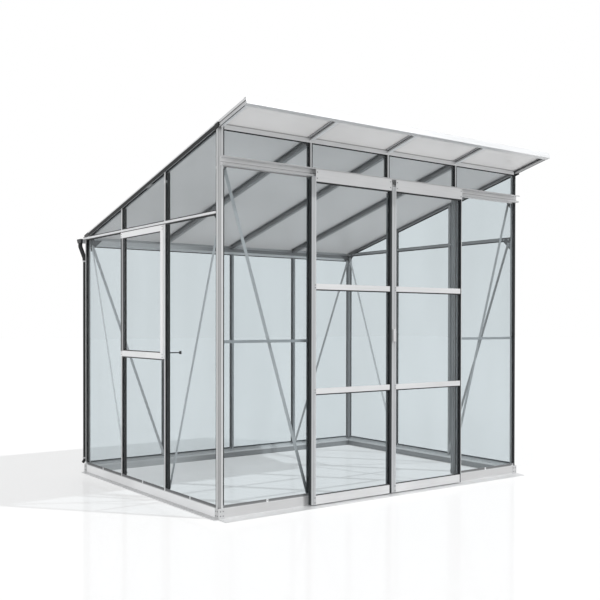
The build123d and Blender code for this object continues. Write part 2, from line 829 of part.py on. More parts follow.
leaves = {"left": (-leaf_out, -door_gap / 2), "right": (door_gap / 2, leaf_out)}
for side, (u0, u1) in leaves.items():
    with BuildPart() as stiles:
        with BuildSketch(Plane.XY.offset(door_low)):
            stile_section(u0, u0 + stile_w, return_w)
            recess = u0 + recess_in
            plan(recess, door_front - recess_t, recess + recess_w, door_front, Mode.SUBTRACT)
            stile_section(u1 - close_w, u1, close_w)
        extrude(amount=stile_top - door_low)
    save(stiles, f"{side}_stiles")

    r0 = u0 + stile_w + 0.5
    r1 = u1 - close_w - 0.5
    with BuildPart() as rails:
        leaf_rail(r0, r1, door_low, door_foot_h, foot_web)
        leaf_rail(r0, r1, rail_low_z, door_rail_h, rail_web)
        leaf_rail(r0, r1, rail_high_z, door_rail_h, rail_web)
    save(rails, f"{side}_rails")

    with BuildPart() as plate:
        plate_u = u0 + stile_w - plate_lap
        leaf_slab(plate_u, plate_z, u1, plate_z + plate_h, door_front, door_front + plate_t)
    save(plate, f"{side}_top_plate")

    with BuildPart() as glass:
        webs = (
            door_low + foot_web,
            rail_low_z + rail_web,
            rail_high_z + rail_web,
            stile_top - glass_down + pane_gap,
        )
        for web, above in zip(webs, webs[1:]):
            low = web + web_t + pane_gap
            leaf_slab(u0 + glass_side, low, r1 - 1, above - pane_gap, glass_out, glass_out + glass_t)
    save(glass, f"{side}_glass")

    with BuildPart() as hangers:
        roller(u0 + hanger_in)
        roller(u1 - hanger_in)
    save(hangers, f"{side}_rollers")

# Pull handle on the middle stile: a plate with ears for its screws and a bridged grip.
handle_u = leaves["right"][0] + 8
handle_w = 28.0
handle_z = 1286.0
handle_h = 126.0
ear_h = 13.0
ear_t = 2.0
grip_out = 10.0
grip_t = 3.5
grip_lean = 4.0
ear_r = 8.0
finger_low = ear_h + grip_t + 2
with BuildPart() as door_handle:
    foot_of_grip = (handle_u, y_front - door_front, handle_z)
    side_plane = Plane(origin=foot_of_grip, x_dir=(0, -1, 0), z_dir=(1, 0, 0))
    with BuildSketch(side_plane) as side_view:
        rect(0, 0, ear_t, handle_h)
        with BuildLine():
            Polyline(
                (ear_t, ear_h),
                (grip_out, ear_h + grip_lean),
                (grip_out, handle_h - ear_h - grip_lean),
                (ear_t, handle_h - ear_h),
                close=True,
            )
        make_face()
        with BuildLine():
            Polyline(
                (ear_t, finger_low),
                (grip_out - grip_t, finger_low + grip_lean - 1),
                (grip_out - grip_t, handle_h - finger_low - grip_lean + 1),
                (ear_t, handle_h - finger_low),
                close=True,
            )
        make_face(mode=Mode.SUBTRACT)
    extrude(side_view.sketch, amount=handle_w)
    fillet(door_handle.edges().filter_by(Axis.Y).group_by(Axis.Z)[0], radius=ear_r)
    fillet(door_handle.edges().filter_by(Axis.Y).group_by(Axis.Z)[-1], radius=ear_r)
save(door_handle, "door_handle")

# Wind braces: flat bars across each end bay, one gusset's thickness off the glazing bars.
gusset_t = 2.0
brace_t = 2.0
brace_w = 25.0
brace_end = 8.0          # bar past its bolts
brace_in = 60.0          # upper bolt from the corner of the walls
brace_lap = 2.0          # lower bolt past the centre of the glazing bar
brace_foot = sill_h + 24
brace_front = track_z + 16
brace_back = back_z - 7
brace_side = rail_z - 30


def brace(face, high, low):
    """Flat bar between two points of a wall, on the inner face of its bars."""
    du = low[0] - high[0]
    dv = low[1] - high[1]
    length = math.hypot(du, dv)
    lift = face.z_dir * (bar_in + gusset_t)
    origin = face.origin - lift + face.x_dir * high[0] + face.y_dir * high[1]
    along = (face.x_dir * du + face.y_dir * dv) / length
    plane = Plane(origin=origin, x_dir=along, z_dir=-face.z_dir)
    with BuildSketch(plane) as flat:
        rect(-brace_end, -brace_w / 2, length + brace_end, brace_w / 2)
    extrude(flat.sketch, amount=brace_t)


end_bay = (wall_w - 2 * bay) / 2
with BuildPart() as wind_braces:
    brace(front_face, (-half_w + brace_in, brace_front), (-bay - brace_lap, brace_foot))
    brace(back_face, (half_w - brace_in, brace_back), (bay + seat_w / 2, brace_foot))
    brace(right_face, (brace_in, brace_side), (end_bay - brace_lap, brace_foot))
    brace(right_face, (wall_d - brace_in, brace_side), (wall_d - end_bay + brace_lap, brace_foot))
    mirror(about=Plane.YZ)
save(wind_braces, "wind_braces")

# Gussets between the posts and the level bars at each top corner.
gusset_leg = 105.0


def gusset(face, u, v, sense, down=-1):
    outline = [(u, v), (u + sense * gusset_leg, v), (u, v + down * gusset_leg)]
    if sense * down > 0:
        outline.reverse()
    slab(face, outline, bar_in, bar_in + gusset_t)


with BuildPart() as gussets:
    gusset(front_face, -half_w + corner_w, header_top, 1)
    gusset(back_face, half_w - corner_w, seat_z, -1)
    gusset(right_face, corner_w, rail_top, 1)
    gusset(right_face, wall_d - corner_w, rail_top, -1)
    mirror(about=Plane.YZ)
save(gussets, "gussets")

# Gutter along the back eave: a sloping front wall with a turned-in lip, and end caps.
gutter_in = y_back + gutter_near
gutter_lip = 7.0
gutter_past = 14.0
cap_reach = 34.0
cap_chamfer = 6.0
hook_t = 4.0             # strip that hangs the gutter on the wall
hook_top = 10.0


def gutter_plane(x):
    return Plane(origin=(x, gutter_in, gutter_top - gutter_h), x_dir=(0, 1, 0), z_dir=(1, 0, 0))


with BuildPart() as gutter:
    with BuildSketch(gutter_plane(-half_w - gutter_past)):
        with BuildLine():
            Polyline(
                (0, gutter_h),
                (0, 0),
                (gutter_w - gutter_slope, 0),
                (gutter_w, gutter_h),
                close=True,
            )
        make_face()
        with BuildLine():
            Polyline(
                (gutter_t, gutter_h + 1),
                (gutter_t, gutter_t),
                (gutter_w - gutter_slope - gutter_t, gutter_t),
                (gutter_w - gutter_t, gutter_h - gutter_t),
                (gutter_w - gutter_t - gutter_lip, gutter_h - gutter_t),
                (gutter_w - gutter_t - gutter_lip, gutter_h + 1),
                close=True,
            )
        make_face(mode=Mode.SUBTRACT)
        rect(-gutter_near, gutter_h - hook_top - hook_t, 0, gutter_h - hook_top)
    extrude(amount=wall_w + 2 * gutter_past)
save(gutter, "gutter")

with BuildPart() as gutter_caps:
    with BuildSketch(gutter_plane(-half_w - cap_reach)):
        with BuildLine():
            Polyline(
                (0, gutter_h),
                (0, cap_chamfer),
                (cap_chamfer, 0),
                (gutter_w - gutter_slope, 0),
                (gutter_w, gutter_h - cap_chamfer),
                (gutter_w, gutter_h),
                close=True,
            )
        make_face()
    extrude(amount=cap_reach - gutter_past)
    mirror(about=Plane.YZ)
save(gutter_caps, "gutter_caps")

# Downpipes: a wide elbow from the end of the gutter to the corner, then a plain pipe.
spigot_x = half_w + (cap_reach + gutter_past) / 2
spigot_in = 32.0
spigot_len = 30.0
elbow_drop = 189.0       # joint of elbow and pipe, below the top of the gutter
elbow_end = 20.0         # straight end of the elbow
elbow_bend = 24.0
spigot_y = gutter_in + spigot_in
pipe_top = gutter_top - gutter_h
neck_z = pipe_top - spigot_len
join_z = gutter_top - elbow_drop
join_gap = 0.5
turn_z = 110.0
foot_z = 86.0
foot_reach = 11.0


def pipe_section(outer):
    Circle(outer)
    Circle(outer - pipe_wall, mode=Mode.SUBTRACT)


with BuildPart() as downpipes:
    with BuildLine() as elbow:
        FilletPolyline(
            (-spigot_x, spigot_y, pipe_top),
            (-spigot_x, spigot_y, neck_z),
            (-half_w, y_back, join_z + elbow_end),
            (-half_w, y_back, join_z),
            radius=elbow_bend,
        )
    with BuildSketch(Plane(origin=(-spigot_x, spigot_y, pipe_top), z_dir=(0, 0, -1))) as wide:
        pipe_section(elbow_r)
    sweep(wide.sketch, path=elbow.line)
    with BuildLine() as route:
        Polyline(
            (-half_w, y_back, join_z - join_gap),
            (-half_w, y_back, turn_z),
            (-half_w - foot_reach, y_back + foot_reach, foot_z),
        )
    pipe_plane = Plane(origin=(-half_w, y_back, join_z - join_gap), z_dir=(0, 0, -1))
    with BuildSketch(pipe_plane) as narrow:
        pipe_section(pipe_r)
    sweep(narrow.sketch, path=route.line, transition=Transition.RIGHT)
    mirror(about=Plane.YZ)
save(downpipes, "downpipes")

# Clips: a ring on the pipe and a tab into the cove of the corner post.
clip_h = 12.0
clip_t = 3.0
clip_gap = 0.2
clip_tab = 8.0
clip_heights = (join_z - 14, turn_z + 12)
with BuildPart() as pipe_clips:
    for z in clip_heights:
        with BuildSketch(Plane.XY.offset(z)):
            with Locations((-half_w, y_back)):
                Circle(pipe_r + clip_gap + clip_t)
                Circle(pipe_r + clip_gap, mode=Mode.SUBTRACT)
            with Locations(Location((-half_w, y_back), -45)):
                reach = cove_r - 0.4
                with Locations(((pipe_r + reach) / 2 + 1, 0)):
                    Rectangle(reach - pipe_r - 2, clip_tab)
        extrude(amount=clip_h)
    mirror(about=Plane.YZ)
save(pipe_clips, "pipe_clips")

# Window stay: an arm from the foot of the sash into the house, with a knob.
stay_reach = 145.0
stay_w = 8.0
stay_side = 29.0         # arm from the glazing bar
stay_up = 40.0           # arm above the foot of the sash
knob_r = 9.0
knob_h = 24.0
with BuildPart() as window_stay:
    y_arm = y_bars[0] + stay_side
    z_arm = window_low + stay_up
    x_sash = x_left - sash_out + sash_t
    x_knob = x_left + stay_reach
    box_between((x_sash, y_arm - stay_w / 2, z_arm), (x_knob, y_arm + stay_w / 2, z_arm + stay_w))
    with BuildSketch(Plane.XY.offset(z_arm + (stay_w - knob_h) / 2)):
        with Locations((x_knob, y_arm)):
            Circle(knob_r)
    extrude(amount=knob_h)
save(window_stay, "window_stay")
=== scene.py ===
import math

import bmesh
import bpy
from mathutils import Matrix, Vector


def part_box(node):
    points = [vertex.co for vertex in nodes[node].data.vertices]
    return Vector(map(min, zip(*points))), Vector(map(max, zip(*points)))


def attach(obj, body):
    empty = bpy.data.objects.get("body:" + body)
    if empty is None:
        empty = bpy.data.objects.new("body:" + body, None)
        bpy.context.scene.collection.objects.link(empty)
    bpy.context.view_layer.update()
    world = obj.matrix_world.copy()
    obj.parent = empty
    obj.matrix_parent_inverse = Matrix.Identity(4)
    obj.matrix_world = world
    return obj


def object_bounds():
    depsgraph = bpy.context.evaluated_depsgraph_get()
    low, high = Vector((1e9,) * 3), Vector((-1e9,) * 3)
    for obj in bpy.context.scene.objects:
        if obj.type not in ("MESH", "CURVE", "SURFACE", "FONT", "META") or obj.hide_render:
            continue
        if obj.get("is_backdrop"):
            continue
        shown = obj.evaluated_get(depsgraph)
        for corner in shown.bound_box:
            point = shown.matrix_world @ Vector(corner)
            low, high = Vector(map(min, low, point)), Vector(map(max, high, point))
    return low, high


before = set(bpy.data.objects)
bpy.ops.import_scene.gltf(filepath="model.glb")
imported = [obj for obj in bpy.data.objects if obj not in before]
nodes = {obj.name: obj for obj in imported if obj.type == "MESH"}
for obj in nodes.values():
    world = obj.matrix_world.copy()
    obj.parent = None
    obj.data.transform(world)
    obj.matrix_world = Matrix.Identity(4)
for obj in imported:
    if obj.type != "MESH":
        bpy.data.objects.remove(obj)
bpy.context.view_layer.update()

# Wall planes, in metres, from the corner posts.
post_low, post_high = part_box("corner_posts")
LEFT, FRONT, SILL = post_low
RIGHT, BACK, _ = post_high
FIN = 0.004                 # just inside the outer fins

X, Y, Z = 0, 1, 2

# The plane of the roof's top falls from the front edge to the back.
PITCH_OF_ROOF = math.radians(14.2)
ROOF_TOP = 2.662            # at the front wall plane
ROOF_LEVEL = FRONT * math.sin(PITCH_OF_ROOF) + ROOF_TOP * math.cos(PITCH_OF_ROOF)


def neutral(level):
    """A linear grey with a slight lean to blue."""
    return (level, level + 0.005, level + 0.01)


# Linear colours. The zones that use them are fitted to the photo: they darken or lighten a
# member by place, where its light and shade fall there, and not where real metal changes.
SATIN = (0.60, 0.61, 0.62)
PALE = (0.74, 0.75, 0.76)
# Painted light: the ground flanges, lips and the step are painted lighter, where the sun falls on them.
LIT_LEDGE = neutral(0.66)
# Painted shade, for faces inside the house and faces turned from the light.
SHADED = (0.40, 0.408, 0.412)
DIM = (0.34, 0.346, 0.350)
# Black rubber, and painted shade where a face is painted black for the shade on it.
SEAL_AND_SHADE = (0.022, 0.025, 0.027)


class Tree:
    """A material's node tree, with one short call for each kind of node."""

    def __init__(self, name):
        self.material = bpy.data.materials.new(name)
        self.material.use_nodes = True
        self.tree = self.material.node_tree
        self.tree.nodes.clear()
        self.output = self.tree.nodes.new("ShaderNodeOutputMaterial")

    def add(self, kind, settings=None, **inputs):
        node = self.tree.nodes.new("ShaderNode" + kind)
        for key, value in (settings or {}).items():
            setattr(node, key, value)
        for key, value in inputs.items():
            self.set(node, key.replace("_", " "), value)
        return node

    def set(self, node, key, value):
        socket = node.inputs[int(key)] if key.isdigit() else node.inputs[key]
        if isinstance(value, bpy.types.NodeSocket):
            self.tree.links.new(value, socket)
        elif socket.type == "RGBA" and len(value) == 3:
            socket.default_value = (*value, 1.0)
        else:
            socket.default_value = value

    def math(self, operation, a, b=0.0, c=0.0):
        node = self.add("Math", {"operation": operation})
        for index, value in enumerate((a, b, c)):
            self.set(node, str(index), value)
        return node.outputs[0]

    def place(self):
        """Object coordinates, which stay with a piece when it slides."""
        return self.add("TexCoord").outputs["Object"]

    def stretched(self, scale):
        return self.add("Mapping", Vector=self.place(), Scale=scale).outputs[0]

    def noise(self, scale, stretch=(1, 1, 1), detail=3.0):
        return self.add("TexNoise", Vector=self.stretched(stretch), Scale=scale, Detail=detail).outputs[0]

    def remap(self, value, low, high, start=0.3, stop=0.7):
        node = self.add("MapRange", Value=value)
        for key, number in (("From Min", start), ("From Max", stop), ("To Min", low), ("To Max", high)):
            self.set(node, key, number)
        return node.outputs[0]

    def blend(self, factor, a, b, kind="MIX"):
        node = self.add("Mix", {"data_type": "RGBA", "blend_type": kind})
        self.set(node, "0", factor)
        for index, value in ((6, a), (7, b)):
            self.set(node, str(index), value)
        return node.outputs[2]

    def bump(self, height, strength, distance):
        return self.add("Bump", Height=height, Strength=strength, Distance=distance).outputs[0]

    def mix(self, factor, a, b):
        node = self.add("MixShader")
        for index, value in enumerate((factor, a, b)):
            self.set(node, str(index), value)
        return node.outputs[0]

    def finish(self, shader):
        self.tree.links.new(shader, self.output.inputs["Surface"])
        return self.material


class Here:
    """Tests of where a point of a piece is and which way its face looks: 1 for yes, 0 for
    no, and in between for fading. The places are the piece's own, not the camera's."""

    def __init__(self, t):
        self.t = t
        self.place = t.add("SeparateXYZ", Vector=t.place()).outputs
        self.normal = t.add("SeparateXYZ", Vector=t.add("NewGeometry").outputs["True Normal"]).outputs

    def beyond(self, axis, value):
        return self.t.math("GREATER_THAN", self.place[axis], value)

    def before(self, axis, value):
        return self.t.math("LESS_THAN", self.place[axis], value)

    def between(self, axis, low, high):
        return self.both(self.beyond(axis, low), self.before(axis, high))

    def fading(self, axis, start, stop):
        """1 up to start, then less and less, and 0 from stop on."""
        return self.t.remap(self.place[axis], 1.0, 0.0, start, stop)

    def toward(self, axis, sign):
        return self.t.math("GREATER_THAN", self.t.math("MULTIPLY", self.normal[axis], sign), 0.7)

    def across(self, axis):
        return self.t.math("GREATER_THAN", self.t.math("ABSOLUTE", self.normal[axis]), 0.7)

    def slanting(self):
        """Faces at an angle to both walls, such as the cove of a corner post."""
        return self.both(self.apart(X), self.apart(Y))

    def apart(self, axis):
        return self.t.math("GREATER_THAN", self.t.math("ABSOLUTE", self.normal[axis]), 0.2)

    def under_roof(self, low, high):
        """Points between two depths under the plane of the roof's top."""
        fall = self.t.math("MULTIPLY_ADD", self.place[Y], math.sin(PITCH_OF_ROOF), 0.0)
        rise = self.t.math("MULTIPLY", self.place[Z], math.cos(PITCH_OF_ROOF))
        depth = self.t.math("SUBTRACT", ROOF_LEVEL, self.t.math("ADD", fall, rise))
        above = self.t.math("LESS_THAN", depth, high)
        return self.both(self.t.math("GREATER_THAN", depth, low), above)

    def both(self, *tests):
        """All of the tests at once."""
        result = tests[0]
        for test in tests[1:]:
            result = self.t.math("MULTIPLY", result, test)
        return result


# Stretch of the drawn grain along a member's length.
ALONG = {"X": (1, 60, 60), "Y": (60, 1, 60), "Z": (60, 60, 1)}


def metal(name, along="Z", light=SATIN, zones=(), share=0.35):
    """Drawn aluminium with a faint grain. Each zone is a test and a colour, and a later zone goes over an
    earlier one. The black seal colour stands for black rubber over the metal, and also for painted shade,
    where a face is painted black for the shade that falls on it."""
    t = Tree(name)
    here = Here(t)
    grain = t.noise(4.0, ALONG[along], 4.0)
    cloud = t.noise(1.7)
    # The plain colour and 0, each as a socket that the zones can be blended into.
    colour = t.blend(0.0, light, light)
    # The black share: rubber seals and painted shade.
    sealed_and_shaded = t.math("MULTIPLY", grain, 0.0)
    for test, shade in zones:
        inside = test(here)
        if shade is SEAL_AND_SHADE:
            sealed_and_shaded = t.math("MAXIMUM", sealed_and_shaded, inside)
        else:
            colour = t.blend(inside, colour, shade)
            sealed_and_shaded = t.math("MULTIPLY", sealed_and_shaded, t.math("SUBTRACT", 1.0, inside))
    level = t.math("MULTIPLY", t.remap(cloud, 0.93, 1.04), t.remap(grain, 0.96, 1.05))
    tone = t.add("CombineXYZ", X=level, Y=level, Z=level).outputs[0]
    colour = t.blend(1.0, colour, tone, "MULTIPLY")
    rough = t.remap(grain, 0.36, 0.48)
    bump = t.bump(grain, 0.12, 0.0005)
    bare = t.add("BsdfPrincipled", Base_Color=colour, Metallic=share, Roughness=rough, Normal=bump)
    speck = t.blend(t.noise(220.0), tuple(c * 0.8 for c in SEAL_AND_SHADE), tuple(c * 1.3 for c in SEAL_AND_SHADE))
    # Black rubber coat, used also for faces painted black as painted shade.
    seal = t.add("BsdfPrincipled", Base_Color=speck, Roughness=0.62, Specular_IOR_Level=0.25)
    return t.finish(t.mix(sealed_and_shaded, bare.outputs[0], seal.outputs[0]))


def glass(name, tint, least, steep, gloss=0.95):
    """Thin pane: what is behind shows unbent and tinted. The mirror coat grows from least,
    seen straight on, by up to steep, seen at a shallow angle."""
    t = Tree(name)
    wave = t.bump(t.noise(1.3, (1, 1, 1), 2.0), 0.06, 0.01)
    streak = t.remap(t.noise(2.2, (1, 1, 0.25), 2.0), 0.975, 1.0)
    through = t.add("BsdfTransparent", Color=t.blend(streak, (0, 0, 0), tint))
    mirror = t.add("BsdfGlossy", Color=(gloss, gloss, gloss), Roughness=0.02, Normal=wave)
    facing = t.add("LayerWeight", Blend=0.5).outputs["Facing"]
    share = t.math("MULTIPLY_ADD", t.math("POWER", facing, 4.0), steep, least)
    return t.finish(t.mix(share, through.outputs[0], mirror.outputs[0]))


def roof_sheet(name):
    """Frosted twin-wall sheet: ribs run down the slope, light scatters through."""
    t = Tree(name)
    here = Here(t)
    ribs = t.add("TexWave", {"wave_type": "BANDS", "bands_direction": "X"}, Vector=t.place(), Scale=28.0)
    cloud = t.noise(1.2)
    inner = t.blend(t.remap(cloud, 0, 1), (0.655, 0.645, 0.645), (0.715, 0.705, 0.705))
    outer = t.blend(t.remap(cloud, 0, 1), (0.70, 0.70, 0.70), (0.76, 0.76, 0.76))
    # Painted light: the underside of the canopy, out in the open, is painted lighter than the rest of the
    # sheet.
    canopy_under = here.both(here.before(Y, FRONT), here.toward(Z, -1))
    colour = t.blend(canopy_under, inner, outer)
    colour = t.blend(t.remap(ribs.outputs[1], 0.0, 0.10, 0.0, 1.0), colour, (0.90, 0.90, 0.90))
    bump = t.bump(ribs.outputs[1], 0.15, 0.0005)
    face = t.add("BsdfPrincipled", Base_Color=colour, Roughness=0.28, Normal=bump)
    glow = t.add("BsdfTranslucent", Color=colour)
    body = t.mix(0.45, face.outputs[0], glow.outputs[0])
    clear = t.add("BsdfTransparent", Color=(0.93, 0.93, 0.93))
    return t.finish(t.mix(0.18, body, clear.outputs[0]))


def plastic(name, dark, light, rough=0.45, grain=180.0, zones=()):
    t = Tree(name)
    here = Here(t)
    cloud = t.noise(grain)
    colour = t.blend(t.remap(cloud, 0, 1), dark, light)
    for test, shade in zones:
        colour = t.blend(test(here), colour, shade)
    shader = t.add(
        "BsdfPrincipled",
        Base_Color=colour,
        Roughness=t.remap(cloud, rough - 0.06, rough + 0.06),
        Specular_IOR_Level=0.35,
        Normal=t.bump(cloud, 0.15, 0.0004),
    )
    return t.finish(shader.outputs[0])


def paint(material, *names):
    """Give CAD nodes a material."""
    for name in names:
        slots = nodes[name].material_slots
        for slot in slots:
            slot.link = "DATA"
            slot.material = material


# Wall bars: light outer fins; the faces that look along the wall are painted black, for their seals and for
# painted shade, and the faces inside the house are painted darker as shade.
TRACK_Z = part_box("door_header")[0][Z]
MEETING = 0.05              # the bar behind the meeting leaves is within this of the middle
JAMB_START = 0.70           # the jamb beside the right leaf, from here
JAMB_END = 0.775            # to here
NOSE = 0.018                # depth of the outer part of a bar, with its seals
POST_REACH = 0.03           # how far in the back left post is black
# Painted shade for the sides of the jambs by the doors, and for the inside of the back bars.
JAMB_SIDE_SHADE = neutral(0.48)
BACK_BAR_SHADE = (0.38, 0.39, 0.40)


def front_bar_zones():
    # Painted shade: darker faces inside the house, black sides, grey jambs beside and behind the doors.
    behind_doors = lambda h: h.both(h.between(X, -MEETING, MEETING), h.before(Z, TRACK_Z))
    beside_door = lambda h: h.both(h.between(X, JAMB_START, JAMB_END), h.before(Z, TRACK_Z))
    return [
        (lambda h: h.beyond(Y, FRONT + FIN), SHADED),
        (lambda h: h.both(h.toward(Y, -1), h.beyond(Y, FRONT + FIN)), DIM),
        (lambda h: h.across(X), SEAL_AND_SHADE),
        (behind_doors, JAMB_SIDE_SHADE),
        (beside_door, JAMB_SIDE_SHADE),
    ]


def gable_bar_zones():
    """Black flanks on the left wall, and grey ones on the right wall, as they look in the photo."""
    # Painted light and shade: the outer fins of the left wall are painted nearly white, its flanks and its
    # inner faces that look left black, the flanks on the right wall grey, and the faces inside the house
    # darker.
    inside = lambda h: h.both(h.beyond(X, LEFT + FIN), h.before(X, RIGHT - FIN))
    return [
        (lambda h: h.before(X, LEFT + FIN), neutral(0.90)),
        (inside, SHADED),
        (lambda h: h.both(inside(h), h.before(X, 0), h.toward(X, -1)), SEAL_AND_SHADE),
        (lambda h: h.both(h.across(Y), h.before(X, 0)), SEAL_AND_SHADE),
        (lambda h: h.both(h.across(Y), h.beyond(X, 0)), DIM),
    ]


def back_bar_zones():
    # Painted shade: the faces inside the house are painted darker, and the sides near the glass black, for
    # the seals and for shade.
    return [
        (lambda h: h.before(Y, BACK - FIN), BACK_BAR_SHADE),
        (lambda h: h.both(h.across(X), h.beyond(Y, BACK - NOSE)), SEAL_AND_SHADE),
    ]


def post_zones():
    """In the photo the front right post looks black all over, the back left one black
    inside its fins, the back right one dark, and the cove of the front left one grey."""
    # Painted shade: the front right post is painted black all over, the back left one black inside its
    # fins, the back right one dark, and the cove of the front left one grey.
    inner = lambda h: h.both(h.beyond(X, LEFT + FIN), h.before(X, RIGHT - FIN))
    front_left = lambda h: h.both(h.before(X, 0), h.before(Y, 0))
    return [
        (lambda h: h.both(front_left(h), h.slanting()), neutral(0.38)),
        (lambda h: h.both(inner(h), h.beyond(Y, 0), h.beyond(X, 0)), neutral(0.28)),
        (lambda h: h.both(inner(h), h.before(X, LEFT + POST_REACH), h.beyond(Y, 0)), SEAL_AND_SHADE),
        (lambda h: h.both(h.beyond(X, 0), h.before(Y, 0)), SEAL_AND_SHADE),
        (lambda h: h.both(h.beyond(X, 0), h.between(Y, FRONT + NOSE, 0)), DIM),
    ]


# Door stiles: the closing stile of each leaf is painted black, for its seal and for painted shade, and the
# wide one only on the flank of the left leaf. The dark rim of the left leaf and the grey flank of the right
# leaf are painted shade.
STILE_W = 0.044
CLOSE_W = 0.0155            # face of the closing stile
GROOVE = (0.0165, 0.0285)   # shaded groove of the wide stile
RIM = 0.006
FLANK = 0.010


def groove(low):
    """The shaded groove in the face of a wide stile."""
    return lambda h: h.both(h.toward(Y, -1), h.between(X, low + GROOVE[0], low + GROOVE[1]))


def left_stile_zones(low, high):
    return [
        (groove(low), (0.40, 0.41, 0.415)),
        (lambda h: h.both(h.toward(Y, -1), h.before(X, low + RIM)), neutral(0.22)),
        (lambda h: h.both(h.toward(X, -1), h.before(X, low + FLANK)), SEAL_AND_SHADE),
        (lambda h: h.beyond(X, high - CLOSE_W), SEAL_AND_SHADE),
    ]


def right_stile_zones(low, high):
    return [
        (lambda h: h.both(h.toward(X, -1), h.before(X, low + FLANK)), (0.40, 0.41, 0.42)),
        (groove(low), (0.44, 0.45, 0.455)),
        (lambda h: h.beyond(X, high - CLOSE_W), SEAL_AND_SHADE),
        (lambda h: h.both(h.toward(Y, -1), h.beyond(X, high - RIM)), SATIN),
    ]


paint(metal("bar_front", zones=front_bar_zones()), "front_mullions")
paint(metal("bar_gable", zones=gable_bar_zones()), "gable_mullions")
paint(metal("bar_back", zones=back_bar_zones()), "back_mullions")
paint(metal("corner_post", light=(0.62, 0.63, 0.635), zones=post_zones()), "corner_posts")
for side, make_zones in (("left", left_stile_zones), ("right", right_stile_zones)):
    low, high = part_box(side + "_stiles")
    zones = make_zones(low[X], high[X])
    paint(metal(side + "_stile", light=(0.48, 0.49, 0.50), zones=zones), side + "_stiles")

# Base: lighter on the sides and back than on the front, darker inside, as in the photo.
# Painted light: the sides and back are a lighter copy of the front, painted lighter where the sun does not
# reach them.
SUNNY = (0.57, 0.572, 0.575)
LIT_X = (-0.7, -0.15)       # members at the back fade from light to dark over this stretch
BACK_PART = 1.0             # the rear part of the base, where they do
FLANGE_TOP = 0.012
INNER_TOP = 0.048
SEAT_TOP = 0.02
LEDGE_OUT = 0.02            # the ground flange goes further out than this on the left
LIP = 0.004
INNER_BASE_SHADE = neutral(0.36)
inner_base = lambda h: h.both(
    h.beyond(X, LEFT + FIN), h.before(X, RIGHT - FIN), h.beyond(Y, FRONT + FIN), h.before(Y, BACK - FIN)
)
# Painted light and shade: the ground flange is painted lighter, the faces inside the house darker, the back
# part lighter toward its left end, and the inner top edge lighter as a painted highlight.
ledge_zones = [
    (lambda h: h.before(Z, FLANGE_TOP), LIT_LEDGE),
    (inner_base, INNER_BASE_SHADE),
    (lambda h: h.both(inner_base(h), h.beyond(Y, BACK_PART), h.fading(X, *LIT_X)), neutral(0.70)),
    (lambda h: h.both(inner_base(h), h.beyond(Z, INNER_TOP)), neutral(0.78)),
    (lambda h: h.both(h.toward(Z, 1), h.beyond(Z, SEAT_TOP), h.beyond(X, LEFT - LEDGE_OUT)), SATIN),
]
outer_lip = lambda h: h.beyond(Z, SILL - LIP)
paint(metal("base_front", "X", SUNNY, ledge_zones + [(outer_lip, LIT_LEDGE)]), "base_front")
base_side = metal("base_side", "X", neutral(0.90), ledge_zones + [(outer_lip, LIT_LEDGE)])
paint(base_side, "base_back", "base_sides")
paint(metal("aluminium_step", "X", LIT_LEDGE), "door_step")
paint(metal("aluminium_plate", "Z", neutral(0.56)), "base_corner_plates")

metal_x = metal("aluminium_level_x", "X", (0.58, 0.59, 0.60))
TRACK_BACK = 0.02           # the rear part of the track reaches this far out
TRACK_LINE = (0.022, 0.026)
# Painted light: the rear part of the track, under its hood, is painted lighter; the dark line along it is
# painted shade.
track_zones = [
    (lambda h: h.beyond(Y, FRONT - TRACK_BACK), neutral(0.70)),
    (lambda h: h.between(Z, TRACK_Z + TRACK_LINE[0], TRACK_Z + TRACK_LINE[1]), DIM),
]
paint(metal("track_metal", "X", neutral(0.50), track_zones), "door_track")
paint(metal("header_metal", "X", neutral(0.50)), "door_header")
paint(metal_x, "gutter")
paint(metal("door_rail", "X", neutral(0.66)), "left_rails", "right_rails")
paint(metal("top_plate", "X", neutral(0.66)), "left_top_plate", "right_top_plate")
beam_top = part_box("front_beam")[1][Z]
BEAM_LINE = 0.006
# Painted shade: a dark line along the top of the front face, and darker faces inside the house.
beam_zones = [
    (lambda h: h.both(h.toward(Y, -1), h.beyond(Z, beam_top - BEAM_LINE)), DIM),
    (lambda h: h.beyond(Y, FRONT + FIN), DIM),
]
paint(metal("front_beam", "X", neutral(0.68), beam_zones), "front_beam")
# The lowest strip of the back beam is pale, because the beam sits lower than in the photo.
back_beam_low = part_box("back_beam")[0]
BACK_BEAM_STRIP = 0.020
# Painted light and shade: the beam is painted dark as shade, lighter toward its left end, where light comes
# in from the open side, and plain outside.
back_beam_zones = [
    (lambda h: h.fading(X, *LIT_X), neutral(0.75)),
    (lambda h: h.before(Z, back_beam_low[Z] + BACK_BEAM_STRIP), neutral(0.80)),
    (lambda h: h.beyond(Y, BACK - FIN), SATIN),
]
paint(metal("back_beam", "X", neutral(0.27), back_beam_zones), "back_beam")
# Painted shade: the gussets are painted dark.
paint(metal("gusset_metal", "Y", neutral(0.17)), "gussets")
gable_rail_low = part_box("gable_rails")[0]
RAIL_LINE = 0.0045
# Painted shade: a black line along the foot of the rail on the left wall, and darker faces inside the
# house.
rail_zones = [
    (lambda h: h.both(h.before(Z, gable_rail_low[Z] + RAIL_LINE), h.before(X, 0)), (0.03, 0.03, 0.03)),
    (lambda h: h.both(h.beyond(X, LEFT + FIN), h.before(X, RIGHT - FIN)), SHADED),
]
paint(metal("gable_rail", "Y", PALE, rail_zones), "gable_rails")

